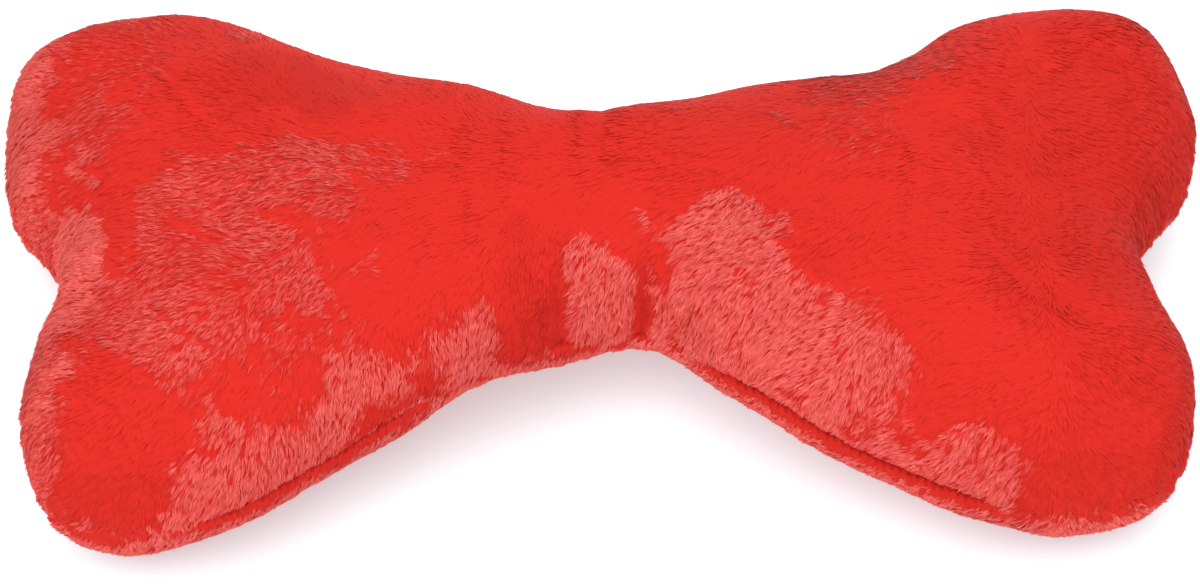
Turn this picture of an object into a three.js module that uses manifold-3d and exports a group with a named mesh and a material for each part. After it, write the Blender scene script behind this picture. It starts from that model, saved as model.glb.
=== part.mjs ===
// A stuffed plush bone for a dog, with a bulb squeaker in its waist.
// Millimetres, +Z up. The toy lies on its four lobes, with its length along X, and the origin is
// on the surface under the middle of its outline.
// Two plush panels are sewn together round the rim and turned right side out, so their seam
// allowances lie inside, face to face. The fill is pushed in through a gap that is closed by hand.

import * as THREE from "three";
import { mergeVertices } from "three/addons/utils/BufferGeometryUtils.js";
import Module from "manifold-3d";

const wasm = await Module();
wasm.setup();

// Driving dimensions

const clearance = 0.3; // between pieces that touch
const fillClearance = 0.8; // between the fill and the inside of the cover
const overrun = 5; // how far a cutting block reaches past what it cuts

const toy = { length: 280, width: 153 }; // over the tips of the pile
const flatDepth = 0.5; // the pile is pressed flat this deep where a lobe rests

// Heights of the stuffed cover over and under its rim, and how far it is lifted off the surface,
// at five kinds of place along the middle of the bone
const stuffing = {
  waist: { crest: 29.5, belly: 15.5, lift: 16 },
  shaft: { crest: 25, belly: 24, lift: 11.5 },
  fork: { crest: 32, belly: 28, lift: 2 },
  limb: { crest: 32, belly: 26, lift: 1 },
  lobe: { crest: 30.5, belly: 25, lift: -flatDepth },
};

const plush = {
  thickness: 3, // backing and laid pile together
  allowance: 6.5, // how far the seam allowance reaches in from the rim
  allowanceThickness: 1.5,
  stitchInset: 2.2, // the stitch line, in from the rim
  grooveHalfWidth: 1.2, // the crease that the stitches draw in each layer
  grooveDepth: 0.5,
};

const seamThread = { radius: 0.35 };
const closingThread = { radius: 0.25, swing: 0.5, pitch: 6 };

const bulb = {
  radius: 16,
  wall: 1.1,
  baseHeight: 7, // the cup under the bellows
  capHeight: 7, // the cup over the bellows
  travel: 6.5, // how far the cap goes down
  foldedLength: 3.5, // what is left of the bellows then
  corner: 2.2,
  crown: 0.8, // how far the cap domes
  folds: 2,
  foldDepth: 2.6,
  dimpleRadius: 6.4, // the base is pushed in here, so that the whistle doesn't stand proud
  dimpleDepth: 1.6,
  bossHeight: 2.4, // the collar that grips the whistle, over the floor of the base
  bossWall: 1.2,
};
const bulbHeight = bulb.baseHeight + bulb.travel + bulb.foldedLength + bulb.capHeight;

const whistle = {
  radius: 3.6,
  wall: 0.8,
  length: 9.6,
  flangeRadius: 5.2,
  flangeThickness: 0.8,
  lipDepth: 0.6, // the rolled lip that keeps the reed in
  airWidth: 2.2, // the channel under the reed
  airDepth: 1.1,
  wedgeLength: 3.2, // the half plug that pins the reed's root
};
const reed = { length: 7, width: 3.6, thickness: 0.25 };

const pouch = { thickness: 0.8, weld: 3.4, weldThickness: 0.5 }; // non-woven cloth, welded round
const squeakerRise = 7; // the squeaker's middle, over the rim at the waist
const besidePouch = 19.5; // how far the two waist wads reach past the pouch

// How many facets

const stepsPerPoint = 3; // along the outline, between two of its points
const domeSteps = 6; // from crest to rim
const innerSteps = 5;
const roundSides = 24;
const threadSides = 6;
const stepsPerStitch = 2;

// The outline, as shares of half the length and half the width, from the back of the waist
// towards the right and round. over names the place on the middle line that each point swells from.

const outlineShares = [
  { x: -0.02, y: 0.48, over: "waist" },
  { x: 0.22, y: 0.575, over: "rightShaft" },
  { x: 0.45, y: 0.7, over: "rightFork" },
  { x: 0.6, y: 0.91, over: "rightBackLimb" },
  { x: 0.78, y: 1.0, over: "rightBackLobe" },
  { x: 0.95, y: 0.905, over: "rightBackLobe" },
  { x: 1.0, y: 0.61, over: "rightBackLobe" },
  { x: 0.98, y: 0.35, over: "rightBackLobe" },
  { x: 0.92, y: 0.15, over: "rightBackLimb" },
  { x: 0.88, y: -0.01, over: "rightFork" },
  { x: 0.9, y: -0.17, over: "rightFrontLimb" },
  { x: 0.95, y: -0.4, over: "rightFrontLobe" },
  { x: 0.935, y: -0.7, over: "rightFrontLobe" },
  { x: 0.87, y: -0.865, over: "rightFrontLobe" },
  { x: 0.72, y: -0.94, over: "rightFrontLobe" },
  { x: 0.6, y: -0.92, over: "rightFrontLimb" },
  { x: 0.43, y: -0.79, over: "rightFork" },
  { x: 0.22, y: -0.555, over: "rightShaft" },
  { x: 0.05, y: -0.33, over: "waist" },
  { x: -0.21, y: -0.535, over: "leftShaft" },
  { x: -0.43, y: -0.79, over: "leftFork" },
  { x: -0.59, y: -0.96, over: "leftFrontLimb" },
  { x: -0.76, y: -0.985, over: "leftFrontLobe" },
  { x: -0.865, y: -0.91, over: "leftFrontLobe" },
  { x: -0.92, y: -0.65, over: "leftFrontLobe" },
  { x: -0.915, y: -0.38, over: "leftFrontLobe" },
  { x: -0.875, y: -0.2, over: "leftFrontLimb" },
  { x: -0.88, y: -0.06, over: "leftFork" },
  { x: -0.92, y: 0.09, over: "leftBackLimb" },
  { x: -0.98, y: 0.3, over: "leftBackLobe" },
  { x: -0.99, y: 0.7, over: "leftBackLobe" },
  { x: -0.91, y: 0.91, over: "leftBackLobe" },
  { x: -0.72, y: 0.97, over: "leftBackLobe" },
  { x: -0.57, y: 0.9, over: "leftBackLimb" },
  { x: -0.43, y: 0.755, over: "leftFork" },
  { x: -0.22, y: 0.585, over: "leftShaft" },
];

// The middle line: a backbone from fork to fork, and from each fork two limbs out to their lobes

const middleShares = {
  leftFork: { x: -0.53, y: -0.02, kind: "fork" },
  leftShaft: { x: -0.25, y: 0.03, kind: "shaft" },
  waist: { x: 0.01, y: 0.07, kind: "waist" },
  rightShaft: { x: 0.25, y: 0.04, kind: "shaft" },
  rightFork: { x: 0.52, y: 0.0, kind: "fork" },
  rightBackLimb: { x: 0.65, y: 0.31, kind: "limb" },
  rightBackLobe: { x: 0.77, y: 0.6, kind: "lobe" },
  rightFrontLimb: { x: 0.64, y: -0.28, kind: "limb" },
  rightFrontLobe: { x: 0.74, y: -0.55, kind: "lobe" },
  leftBackLimb: { x: -0.64, y: 0.29, kind: "limb" },
  leftBackLobe: { x: -0.75, y: 0.58, kind: "lobe" },
  leftFrontLimb: { x: -0.63, y: -0.31, kind: "limb" },
  leftFrontLobe: { x: -0.73, y: -0.6, kind: "lobe" },
};
const middleLines = [
  ["leftFork", "leftShaft", "waist", "rightShaft", "rightFork"],
  ["rightFork", "rightBackLimb", "rightBackLobe"],
  ["rightFork", "rightFrontLimb", "rightFrontLobe"],
  ["leftFork", "leftBackLimb", "leftBackLobe"],
  ["leftFork", "leftFrontLimb", "leftFrontLobe"],
];

// The gap for stuffing is on the front flank, between these shares of the way round the outline
const closingShares = { start: 0.455, end: 0.515 };

// Geometry helpers

// A smooth curve through rows of equal keys, at a place counted in rows; it can run in a ring.
function through(rows, place, ring) {
  const count = rows.length;
  const row = (i) => rows[ring ? (i + count) % count : THREE.MathUtils.clamp(i, 0, count - 1)];
  const first = Math.min(Math.floor(place), ring ? count : count - 2);
  const t = place - first;
  const [a, b, c, d] = [-1, 0, 1, 2].map((step) => row(first + step));
  const keys = Object.keys(b).filter((key) => typeof b[key] === "number");
  const blend = (key) => {
    const [startSlope, endSlope] = [(c[key] - a[key]) / 2, (d[key] - b[key]) / 2];
    const rise = c[key] - b[key];
    return b[key] + t * (startSlope + t * (3 * rise - 2 * startSlope - endSlope
      + t * (startSlope + endSlope - 2 * rise)));
  };
  return Object.fromEntries(keys.map((key) => [key, blend(key)]));
}

function solidOf(geometry) {
  const bare = new THREE.BufferGeometry();
  bare.setAttribute("position", geometry.getAttribute("position"));
  bare.setIndex(geometry.getIndex());
  const merged = mergeVertices(bare);
  const kept = [];
  for (let i = 0; i < merged.index.count; i += 3) {
    const corners = [0, 1, 2].map((k) => merged.index.getX(i + k));
    if (new Set(corners).size === 3) kept.push(...corners);
  }
  return new wasm.Manifold(
    new wasm.Mesh({
      numProp: 3,
      vertProperties: merged.getAttribute("position").array,
      triVerts: new Uint32Array(kept),
    }),
  );
}

function geometryOf(solid) {
  const { vertProperties, triVerts } = solid.getMesh();
  const geometry = new THREE.BufferGeometry();
  geometry.setAttribute("position", new THREE.BufferAttribute(vertProperties, 3));
  geometry.setIndex(new THREE.BufferAttribute(triVerts, 1));
  geometry.computeVertexNormals();
  return geometry;
}

// A ring-shaped or solid turned piece, its profile as [radius, height] pairs, anticlockwise.
function turned(profile) {
  const points = profile.map(([r, z]) => new THREE.Vector2(r, z));
  return new THREE.LatheGeometry(points, roundSides).rotateX(Math.PI / 2);
}

function tubeAlong(points, radius, sides, steps) {
  const section = new THREE.Shape();
  for (let i = 0; i < sides; i++) {
    const angle = (i / sides) * 2 * Math.PI;
    const corner = [radius * Math.cos(angle), radius * Math.sin(angle)];
    if (i === 0) section.moveTo(...corner);
    else section.lineTo(...corner);
  }
  const extrudePath = new THREE.CatmullRomCurve3(points);
  return new THREE.ExtrudeGeometry(section, { steps, extrudePath });
}

function block(low, high) {
  const size = high.clone().sub(low);
  const middle = high.clone().add(low).multiplyScalar(0.5);
  return new THREE.BoxGeometry(...size).translate(...middle);
}

// Ribs: one for each step round the outline, from the middle line out to the rim

function middleAt(from, to, t) {
  const line = middleLines.find((names) => names.includes(from) && names.includes(to));
  const [start, end] = [line.indexOf(from), line.indexOf(to)];
  const rows = line.map((name) => ({ ...middleShares[name], ...stuffing[middleShares[name].kind] }));
  return through(rows, start + (end - start) * t, false);
}

function makeRibs() {
  const ribs = [];
  outlineShares.forEach((point, i) => {
    const next = outlineShares[(i + 1) % outlineShares.length];
    for (let step = 0; step < stepsPerPoint; step++) {
      const t = step / stepsPerPoint;
      ribs.push({ edge: through(outlineShares, i + t, true), foot: middleAt(point.over, next.over, t) });
    }
  });
  const spanOf = (key) => {
    const places = ribs.map(({ edge }) => edge[key]);
    return { low: Math.min(...places), high: Math.max(...places) };
  };
  const [spanX, spanY] = [spanOf("x"), spanOf("y")];
  // Shares become millimetres here, so that the outline is just as long and wide as the toy
  const place = ({ x, y }) => new THREE.Vector2(
    ((x - spanX.low) / (spanX.high - spanX.low) - 1 / 2) * toy.length,
    ((y - spanY.low) / (spanY.high - spanY.low) - 1 / 2) * toy.width,
  );
  return ribs.map(({ edge, foot }) => {
    const [root, tip] = [place(foot), place(edge)];
    const reach = tip.clone().sub(root);
    const { crest, belly, lift } = foot;
    const rim = belly + lift;
    return { root, length: reach.length(), direction: reach.normalize(), crest, belly, rim };
  });
}

const ribs = makeRibs();

function pointOn(rib, out, height) {
  const flat = rib.root.clone().addScaledVector(rib.direction, out);
  return new THREE.Vector3(flat.x, flat.y, rib.rim + height);
}

// A skin over all the ribs. sectionOf gives one rib's points as [distance out, height over the
// rim], and the first and last of them lie over the middle line.
function skinOver(sectionOf, flipped) {
  const sections = ribs.map((rib) => sectionOf(rib).map(([out, height]) => pointOn(rib, out, height)));
  const rows = sections[0].length;
  const positions = sections.flat().flatMap((point) => point.toArray());
  const index = [];
  sections.forEach((_, i) => {
    const next = (i + 1) % sections.length;
    for (let row = 0; row + 1 < rows; row++) {
      const [a, b] = [i * rows + row, i * rows + row + 1];
      const [c, d] = [next * rows + row, next * rows + row + 1];
      if (flipped) index.push(a, b, d, a, d, c);
      else index.push(a, d, b, a, c, d);
    }
  });
  const geometry = new THREE.BufferGeometry();
  geometry.setAttribute("position", new THREE.Float32BufferAttribute(positions, 3));
  geometry.setIndex(index);
  return geometry;
}

// A quarter of an ellipse from the crest down to a height over the rim.
function quarter(length, height, floor, steps) {
  const last = Math.acos(floor / height);
  return Array.from({ length: steps + 1 }, (_, i) => {
    const angle = (last * i) / steps;
    return [length * Math.sin(angle), height * Math.cos(angle)];
  });
}

// One plush panel: the dome, the turned-in seam allowance with its stitch crease, and the inside.
function makePanel(heightKey, side) {
  const face = clearance / 2;
  const { thickness, allowance, allowanceThickness, stitchInset } = plush;
  const { grooveHalfWidth, grooveDepth } = plush;
  const sectionOf = (rib) => {
    const outer = quarter(rib.length, rib[heightKey], face, domeSteps);
    const shelf = face + allowanceThickness;
    const inner = quarter(rib.length - thickness, rib[heightKey] - thickness, shelf, innerSteps);
    const stitch = rib.length - stitchInset;
    const seam = [
      [stitch + grooveHalfWidth, face],
      [stitch + grooveHalfWidth / 2, face + grooveDepth],
      [stitch - grooveHalfWidth / 2, face + grooveDepth],
      [stitch - grooveHalfWidth, face],
      [rib.length - allowance, face],
      [rib.length - allowance, shelf],
    ];
    return [...outer, ...seam, ...inner.reverse()].map(([out, height]) => [out, side * height]);
  };
  return solidOf(skinOver(sectionOf, side < 0));
}

// The space inside the cover, less the seam allowance, which all the fill takes up together.
function makeCore() {
  const { thickness, allowance, allowanceThickness } = plush;
  const inset = thickness + fillClearance;
  const shelf = allowanceThickness + 2 * clearance;
  const sectionOf = (rib) => {
    const half = (key, side) => {
      const dome = quarter(rib.length - inset, rib[key] - inset, shelf, innerSteps);
      return [...dome, [rib.length - allowance - clearance, shelf]].map(([o, h]) => [o, side * h]);
    };
    return [...half("crest", 1), ...half("belly", -1).reverse()];
  };
  return solidOf(skinOver(sectionOf, false));
}

// Cover

const coverTop = makePanel("crest", 1);
const underside = block(
  new THREE.Vector3(-toy.length, -toy.width, -toy.length),
  new THREE.Vector3(toy.length, toy.width, 0),
);
const coverBottom = makePanel("belly", -1).subtract(solidOf(underside));

// Threads: the seam runs round from one end of the gap to the other, the closing thread fills it

const stitchPoints = ribs.map((rib) => pointOn(rib, rib.length - plush.stitchInset, 0));
const gap = {
  first: Math.round(closingShares.start * ribs.length),
  last: Math.round(closingShares.end * ribs.length),
};
const seamPoints = [...stitchPoints.slice(gap.last + 1), ...stitchPoints.slice(0, gap.first)];

// A ladder stitch: it crosses from fold to fold, half a pitch further on each time.
function ladderPoints() {
  const line = new THREE.CurvePath();
  for (let i = gap.first; i < gap.last; i++) {
    line.add(new THREE.LineCurve3(stitchPoints[i], stitchPoints[i + 1]));
  }
  const stitches = Math.round((2 * line.getLength()) / closingThread.pitch);
  const up = new THREE.Vector3(0, 0, 1);
  return Array.from({ length: stitches + 1 }, (_, i) => {
    const across = line.getTangentAt(i / stitches).cross(up).normalize();
    const side = i % 2 ? closingThread.swing : -closingThread.swing;
    return line.getPointAt(i / stitches).addScaledVector(across, side);
  });
}

const closingPoints = ladderPoints();

// Squeaker: it stands in the waist with its axis upright, midway between the two panels

const centre = pointOn(ribs[0], 0, squeakerRise);
const bulbFloor = centre.z - bulbHeight / 2;

// A rounded corner from the flat out to the side; way is 1 over a floor and -1 under a roof.
function roundedCorner(radius, corner, height, way) {
  return [
    [radius - corner, height],
    [radius - corner / 4, height + (way * corner) / 4],
    [radius, height + way * corner],
  ];
}

function makeBulbBase() {
  const { radius, wall, corner, baseHeight, dimpleRadius, dimpleDepth, bossHeight, bossWall } = bulb;
  const bore = whistle.radius + clearance;
  const floor = dimpleDepth + wall;
  return turned([
    [bore, dimpleDepth],
    [dimpleRadius, dimpleDepth],
    [dimpleRadius + dimpleDepth / 2, 0],
    ...roundedCorner(radius, corner, 0, 1),
    [radius, baseHeight],
    [radius - wall, baseHeight],
    ...roundedCorner(radius - wall, corner - wall / 2, wall, 1).reverse(),
    [dimpleRadius + dimpleDepth / 2 + wall, wall],
    [dimpleRadius + wall / 2, floor],
    [bore + bossWall, floor],
    [bore + bossWall, floor + bossHeight],
    [bore, floor + bossHeight],
    [bore, dimpleDepth],
  ]);
}

function makeBellows() {
  const { radius, wall, baseHeight, capHeight, folds, foldDepth } = bulb;
  const low = baseHeight + clearance;
  const high = bulbHeight - capHeight - clearance;
  const stepsPerFold = 6;
  const wave = (skin) => Array.from({ length: folds * stepsPerFold + 1 }, (_, i) => {
    const turn = (2 * Math.PI * i) / stepsPerFold;
    return [
      radius - skin - (foldDepth * (1 - Math.cos(turn))) / 2,
      low + ((high - low) * i) / (folds * stepsPerFold),
    ];
  });
  const outer = wave(0);
  return turned([...outer, ...wave(wall).reverse(), outer[0]]);
}

function makeBulbTop() {
  const { radius, wall, capHeight, corner, crown } = bulb;
  const foot = bulbHeight - capHeight;
  const roof = bulbHeight - crown;
  return turned([
    [0, bulbHeight - wall],
    ...roundedCorner(radius - wall, corner - wall / 2, roof - wall, -1),
    [radius - wall, foot],
    [radius, foot],
    ...roundedCorner(radius, corner, roof, -1).reverse(),
    [0, bulbHeight],
  ]);
}

// Whistle: a barrel in the base's collar, with the reed pinned between a grooved seat and a wedge

const barrelFoot = bulb.dimpleDepth - clearance - whistle.flangeThickness;
const barrelBore = whistle.radius - whistle.wall;
const plugRadius = barrelBore - clearance;
const plugFoot = barrelFoot + whistle.flangeThickness;
const plugLength = whistle.length - whistle.flangeThickness - whistle.lipDepth - clearance;
const reedFace = reed.thickness / 2 + clearance; // from the barrel's axis to the seat and the wedge

function makeBarrel() {
  const { radius, wall, length, flangeRadius, flangeThickness, lipDepth } = whistle;
  const top = barrelFoot + length;
  return turned([
    [barrelBore, barrelFoot],
    [flangeRadius, barrelFoot],
    [flangeRadius, barrelFoot + flangeThickness],
    [radius, barrelFoot + flangeThickness],
    [radius, top],
    [barrelBore - wall, top],
    [barrelBore - wall, top - lipDepth],
    [barrelBore, top - lipDepth],
    [barrelBore, barrelFoot],
  ]);
}

// Half a plug: the part of the barrel's bore past a flat face, in +Y; groove leaves an air channel.
function halfPlug(length, groove) {
  const start = Math.asin(reedFace / plugRadius);
  const shape = new THREE.Shape();
  shape.absarc(0, 0, plugRadius, start, Math.PI - start, false);
  if (groove) {
    const half = whistle.airWidth / 2;
    shape.lineTo(-half, reedFace);
    shape.lineTo(-half, reedFace + whistle.airDepth);
    shape.lineTo(half, reedFace + whistle.airDepth);
    shape.lineTo(half, reedFace);
  }
  shape.closePath();
  const curveSegments = roundSides / 4;
  return new THREE.ExtrudeGeometry(shape, { depth: length, bevelEnabled: false, curveSegments });
}

function makeReed() {
  return new THREE.BoxGeometry(reed.width, reed.thickness, reed.length)
    .translate(0, 0, plugFoot + reed.length / 2);
}

// Pouch: two dished pieces of cloth round the bulb, welded together at their edges

const pouchReach = bulb.radius + clearance + pouch.thickness + pouch.weld;

function makePouchHalf(side) {
  const inner = bulb.radius + clearance;
  const depth = bulbHeight / 2 + clearance;
  const { thickness, weldThickness } = pouch;
  const edge = clearance / 2;
  const profile = [
    [0, depth],
    ...roundedCorner(inner, bulb.corner, depth, -1),
    [inner, edge],
    [pouchReach, edge],
    [pouchReach, edge + weldThickness],
    [inner + thickness, edge + weldThickness + thickness],
    ...roundedCorner(inner + thickness, bulb.corner, depth + thickness, -1).reverse(),
    [0, depth + thickness],
  ];
  const made = turned(profile);
  if (side < 0) made.rotateX(Math.PI);
  return made;
}

// Fill: the core is cut into four limb wads, and two round the squeaker

const waistHalf = pouchReach + besidePouch; // from the squeaker's axis to the limb wads
const core = makeCore();

function coreBetween(low, high) {
  return core.intersect(solidOf(block(low, high)));
}

function makeLimbWad(alongX, alongY) {
  const start = waistHalf + clearance;
  const corner = new THREE.Vector3(centre.x + alongX * start, alongY * (clearance / 2), -overrun);
  const far = new THREE.Vector3(alongX * toy.length, alongY * toy.width, toy.length);
  return coreBetween(corner.clone().min(far), corner.clone().max(far));
}

function pouchSpace() {
  const reach = pouchReach + clearance;
  const { thickness, weldThickness } = pouch;
  const depth = bulbHeight / 2 + thickness + 2 * clearance;
  const edge = 3 * clearance + weldThickness + thickness;
  const neck = bulb.radius + thickness + 2 * clearance;
  const shoulder = roundedCorner(neck, bulb.corner, depth, -1).reverse();
  const half = [[reach, edge], [neck, edge], ...shoulder, [0, depth]];
  const mirrored = half.map(([r, z]) => [r, -z]).reverse();
  return solidOf(turned([...mirrored, ...half])).translate(...centre);
}

function makeWaistWad(side) {
  const middle = centre.z + (side * clearance) / 2;
  const far = side > 0 ? toy.length : -overrun;
  const low = new THREE.Vector3(centre.x - waistHalf, -toy.width, Math.min(middle, far));
  const high = new THREE.Vector3(centre.x + waistHalf, toy.width, Math.max(middle, far));
  return coreBetween(low, high).subtract(pouchSpace());
}

// Assembly

const finish = {
  plush: { color: 0xe2332b, roughness: 0.95, metalness: 0 },
  thread: { color: 0xc22a24, roughness: 0.8, metalness: 0 },
  fibre: { color: 0xf4f2ec, roughness: 1, metalness: 0 },
  cloth: { color: 0xece9e1, roughness: 0.9, metalness: 0 },
  vinyl: { color: 0xf2efe6, roughness: 0.45, metalness: 0 },
  hardPlastic: { color: 0xdadfe2, roughness: 0.35, metalness: 0 },
  film: { color: 0xc9d3da, roughness: 0.2, metalness: 0 },
};

const bone = new THREE.Group();
bone.name = "squeaky_bone";

function add(parent, name, geometry, look) {
  const mesh = new THREE.Mesh(geometry, new THREE.MeshStandardMaterial(finish[look]));
  mesh.name = name;
  parent.add(mesh);
  return mesh;
}

add(bone, "top_panel", geometryOf(coverTop), "plush");
add(bone, "bottom_panel", geometryOf(coverBottom), "plush");

const seamTube = tubeAlong(seamPoints, seamThread.radius, threadSides, seamPoints.length);
add(bone, "seam_thread", seamTube, "thread");
const closingSteps = closingPoints.length * stepsPerStitch;
const closingTube = tubeAlong(closingPoints, closingThread.radius, threadSides, closingSteps);
add(bone, "closing_thread", closingTube, "thread");

for (const [end, alongX] of [["left", -1], ["right", 1]]) {
  for (const [row, alongY] of [["back", 1], ["front", -1]]) {
    add(bone, `fill_${end}_${row}`, geometryOf(makeLimbWad(alongX, alongY)), "fibre");
  }
}
add(bone, "fill_waist_upper", geometryOf(makeWaistWad(1)), "fibre");
add(bone, "fill_waist_lower", geometryOf(makeWaistWad(-1)), "fibre");

const pouchGroup = new THREE.Group();
pouchGroup.position.copy(centre);
add(pouchGroup, "pouch_upper", makePouchHalf(1), "cloth");
add(pouchGroup, "pouch_lower", makePouchHalf(-1), "cloth");
bone.add(pouchGroup);

const squeaker = new THREE.Group();
squeaker.position.set(centre.x, centre.y, bulbFloor);
add(squeaker, "bulb_base", makeBulbBase(), "vinyl");
add(squeaker, "bulb_bellows", makeBellows(), "vinyl");
add(squeaker, "bulb_top", makeBulbTop(), "vinyl");
add(squeaker, "whistle_barrel", makeBarrel(), "hardPlastic");
add(squeaker, "reed", makeReed(), "film");
const seat = add(squeaker, "reed_seat", halfPlug(plugLength, true), "hardPlastic");
seat.position.z = plugFoot;
seat.rotation.z = Math.PI;
const wedge = add(squeaker, "reed_wedge", halfPlug(whistle.wedgeLength, false), "hardPlastic");
wedge.position.z = plugFoot;
bone.add(squeaker);

export default bone;
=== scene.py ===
"""A stuffed plush bone for a dog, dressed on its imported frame.

The cover is short-pile plush, and every strand of its pile is a thin blade of mesh that is rooted in
the backing and leans with the nap. Inside are the stuffing and a bulb squeaker in its pouch.
Shapes are worked out in millimetres, and meshes are written in metres.
"""

import logging
import math
from dataclasses import dataclass, field
from enum import Enum
from typing import Any, NamedTuple

import bmesh
import bpy
import numpy as np
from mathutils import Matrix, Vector

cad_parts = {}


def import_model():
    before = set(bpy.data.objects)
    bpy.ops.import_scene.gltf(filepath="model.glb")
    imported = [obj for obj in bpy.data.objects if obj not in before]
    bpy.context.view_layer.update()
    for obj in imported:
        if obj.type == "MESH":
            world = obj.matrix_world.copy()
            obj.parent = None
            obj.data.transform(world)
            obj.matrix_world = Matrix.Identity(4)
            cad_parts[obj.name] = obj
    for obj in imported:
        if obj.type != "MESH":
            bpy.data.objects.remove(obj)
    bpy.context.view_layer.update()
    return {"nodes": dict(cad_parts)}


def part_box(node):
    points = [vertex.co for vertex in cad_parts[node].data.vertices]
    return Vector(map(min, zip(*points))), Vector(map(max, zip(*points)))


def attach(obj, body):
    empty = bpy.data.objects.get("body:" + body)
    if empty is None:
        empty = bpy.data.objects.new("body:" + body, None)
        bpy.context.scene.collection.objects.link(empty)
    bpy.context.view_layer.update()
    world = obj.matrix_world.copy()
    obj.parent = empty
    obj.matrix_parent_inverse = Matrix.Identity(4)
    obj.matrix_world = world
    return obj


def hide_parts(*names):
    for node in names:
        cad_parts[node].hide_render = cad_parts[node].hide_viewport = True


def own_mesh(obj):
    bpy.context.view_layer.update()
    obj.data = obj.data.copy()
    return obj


MM = 0.001
TURN = 2 * math.pi
BAKE_MAP = "OFBake"
JOINED_MM = 0.002  # points nearer than this are one

Array = np.ndarray
Dice = np.random.Generator
Material = bpy.types.Material
Piece = bpy.types.Object
Socket = bpy.types.NodeSocket
Tree = bpy.types.NodeTree
Pair = tuple[float, float]
Triple = tuple[float, float, float]

log = logging.getLogger("bone")


class Side(Enum):
    """The two panels that the cover is sewn from."""

    TOP = 1
    BOTTOM = -1


# Colour and node helpers


def linear(hex_code: str) -> tuple[float, float, float, float]:
    """Turn an sRGB hex colour into the linear values that shaders take.

    Args:
        hex_code: Six hex digits, with or without a leading hash.

    Returns:
        Linear red, green and blue, with an alpha of one.
    """
    digits = hex_code.lstrip("#")
    channels = [int(digits[i : i + 2], 16) / 255 for i in (0, 2, 4)]
    bright = [c / 12.92 if c <= 0.04045 else ((c + 0.055) / 1.055) ** 2.4 for c in channels]
    return (*bright, 1.0)


def add_node(
    tree: Tree,
    kind: str,
    settings: dict[str, Any] | None = None,
    links: dict[str | int, Any] | None = None,
) -> bpy.types.Node:
    """Add a node with its settings and links.

    Args:
        tree: The node tree that gets the node.
        kind: The node's type, such as "ShaderNodeTexNoise".
        settings: The node's own properties.
        links: For each input, by name or place, the output that feeds it or the value it holds.

    Returns:
        The new node.
    """
    node = tree.nodes.new(kind)
    for name, value in (settings or {}).items():
        setattr(node, name, value)
    for name, value in (links or {}).items():
        if isinstance(value, Socket):
            tree.links.new(value, node.inputs[name])
        else:
            node.inputs[name].default_value = value
    return node


def new_material(name: str) -> tuple[Material, Tree]:
    """Start an empty node material.

    Args:
        name: What the real material is called.

    Returns:
        The material and its node tree.
    """
    material = bpy.data.materials.new(name)
    material.use_nodes = True
    material.node_tree.nodes.clear()
    return material, material.node_tree


def finish_material(
    tree: Tree, sockets: dict[str | int, Any], height: Socket | None = None, bump_mm: float = 0.1
) -> None:
    """End a material in a principled shader, with bump where a height is given.

    Args:
        tree: The material's node tree.
        sockets: The shader's inputs, as add_node takes them.
        height: A pattern from 0 to 1 to raise the surface by.
        bump_mm: The height of that pattern in millimetres.
    """
    links = dict(sockets)
    if height is not None:
        raised = {"Strength": 1.0, "Distance": bump_mm * MM, "Height": height}
        links["Normal"] = add_node(tree, "ShaderNodeBump", links=raised).outputs["Normal"]
    shader = add_node(tree, "ShaderNodeBsdfPrincipled", links=links)
    add_node(tree, "ShaderNodeOutputMaterial", links={"Surface": shader.outputs["BSDF"]})


def add_ramp(tree: Tree, factor: Socket, stops: list[tuple[float, str]]) -> Socket:
    """Colour a factor by a ramp.

    Args:
        tree: The material's node tree.
        factor: The value that the ramp reads.
        stops: Places from 0 to 1 with their hex colours, in order.

    Returns:
        The ramp's colour.
    """
    ramp = add_node(tree, "ShaderNodeValToRGB", links={"Fac": factor})
    elements = ramp.color_ramp.elements
    elements[0].position, elements[0].color = stops[0][0], linear(stops[0][1])
    elements[1].position, elements[1].color = stops[-1][0], linear(stops[-1][1])
    for place, hex_code in stops[1:-1]:
        elements.new(place).color = linear(hex_code)
    return ramp.outputs["Color"]


def add_pattern(tree: Tree, kind: str, size_mm: float, more: dict[str, float], out: str = "Fac") -> Socket:
    """Add a pattern of a real size in the object's own coordinates.

    Args:
        tree: The material's node tree.
        kind: Noise, Wave or Voronoi.
        size_mm: The size of one blotch, grain or cell in millimetres.
        more: The pattern's other inputs.
        out: The output that is read.

    Returns:
        The pattern's value, from 0 to 1.
    """
    place = add_node(tree, "ShaderNodeTexCoord").outputs["Object"]
    links = {"Vector": place, "Scale": 1 / (size_mm * MM), **more}
    return add_node(tree, f"ShaderNodeTex{kind}", links=links).outputs[out]


def add_scaled(tree: Tree, value: Socket, factor: float, to_attribute: str) -> Socket:
    """Scale a value and add it to a number that the mesh holds for each point.

    Args:
        tree: The material's node tree.
        value: The value.
        factor: What it is multiplied by.
        to_attribute: The name of the mesh's number.

    Returns:
        The sum.
    """
    held = add_node(tree, "ShaderNodeAttribute", {"attribute_name": to_attribute}).outputs["Fac"]
    terms = {0: value, 1: factor, 2: held}
    return add_node(tree, "ShaderNodeMath", {"operation": "MULTIPLY_ADD"}, terms).outputs[0]


# Finishes


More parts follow.
